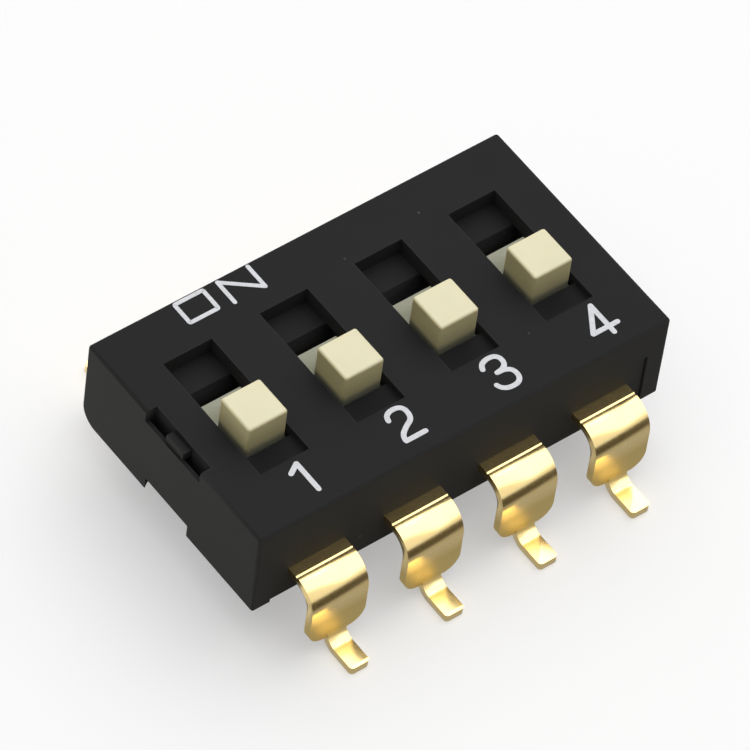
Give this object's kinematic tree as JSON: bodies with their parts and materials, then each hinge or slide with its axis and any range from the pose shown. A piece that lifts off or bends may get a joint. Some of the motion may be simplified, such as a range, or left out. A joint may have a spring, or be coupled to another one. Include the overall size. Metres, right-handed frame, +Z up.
{
  "type": "slide dip switch",
  "caption": "Low surface-mount slide switch: a black moulded housing with a row of cream actuators in slots in its cover and gold-plated gull-wing leads along both long sides.",
  "frame": {"origin": "centre of the lead pattern on the seating plane, the plane of the feet's lower faces", "axes": "+X along the row of poles from 1 up, +Y from OFF to ON, +Z up out of the board"},
  "size_m": [0.011, 0.0098, 0.0044],
  "materials": {
    "black_plastic": "fine matte moulded surface",
    "cream_plastic": "satin moulded surface",
    "gold_plate": "bright gold plating on stamped strip"
  },
  "bodies": {
    "housing": {"base": "black_plastic", "cover": "black_plastic", "terminal_near_1": "gold_plate", "terminal_near_2": "gold_plate", "terminal_near_3": "gold_plate", "terminal_near_4": "gold_plate", "terminal_far_1": "gold_plate", "terminal_far_2": "gold_plate", "terminal_far_3": "gold_plate", "terminal_far_4": "gold_plate"},
    "actuator_1": {"slider_1": "cream_plastic", "contact_1": "gold_plate"},
    "actuator_2": {"slider_2": "cream_plastic", "contact_2": "gold_plate"},
    "actuator_3": {"slider_3": "cream_plastic", "contact_3": "gold_plate"},
    "actuator_4": {"slider_4": "cream_plastic", "contact_4": "gold_plate"}
  },
  "joints": [
    {"name": "slide_1", "type": "slide", "parent": "housing", "child": "actuator_1", "axis": [0, 1, 0], "range_m": [0, 0.0009]},
    {"name": "slide_2", "type": "slide", "parent": "housing", "child": "actuator_2", "axis": [0, 1, 0], "range_m": [0, 0.0009]},
    {"name": "slide_3", "type": "slide", "parent": "housing", "child": "actuator_3", "axis": [0, 1, 0], "range_m": [0, 0.0009]},
    {"name": "slide_4", "type": "slide", "parent": "housing", "child": "actuator_4", "axis": [0, 1, 0], "range_m": [0, 0.0009]}
  ]
}
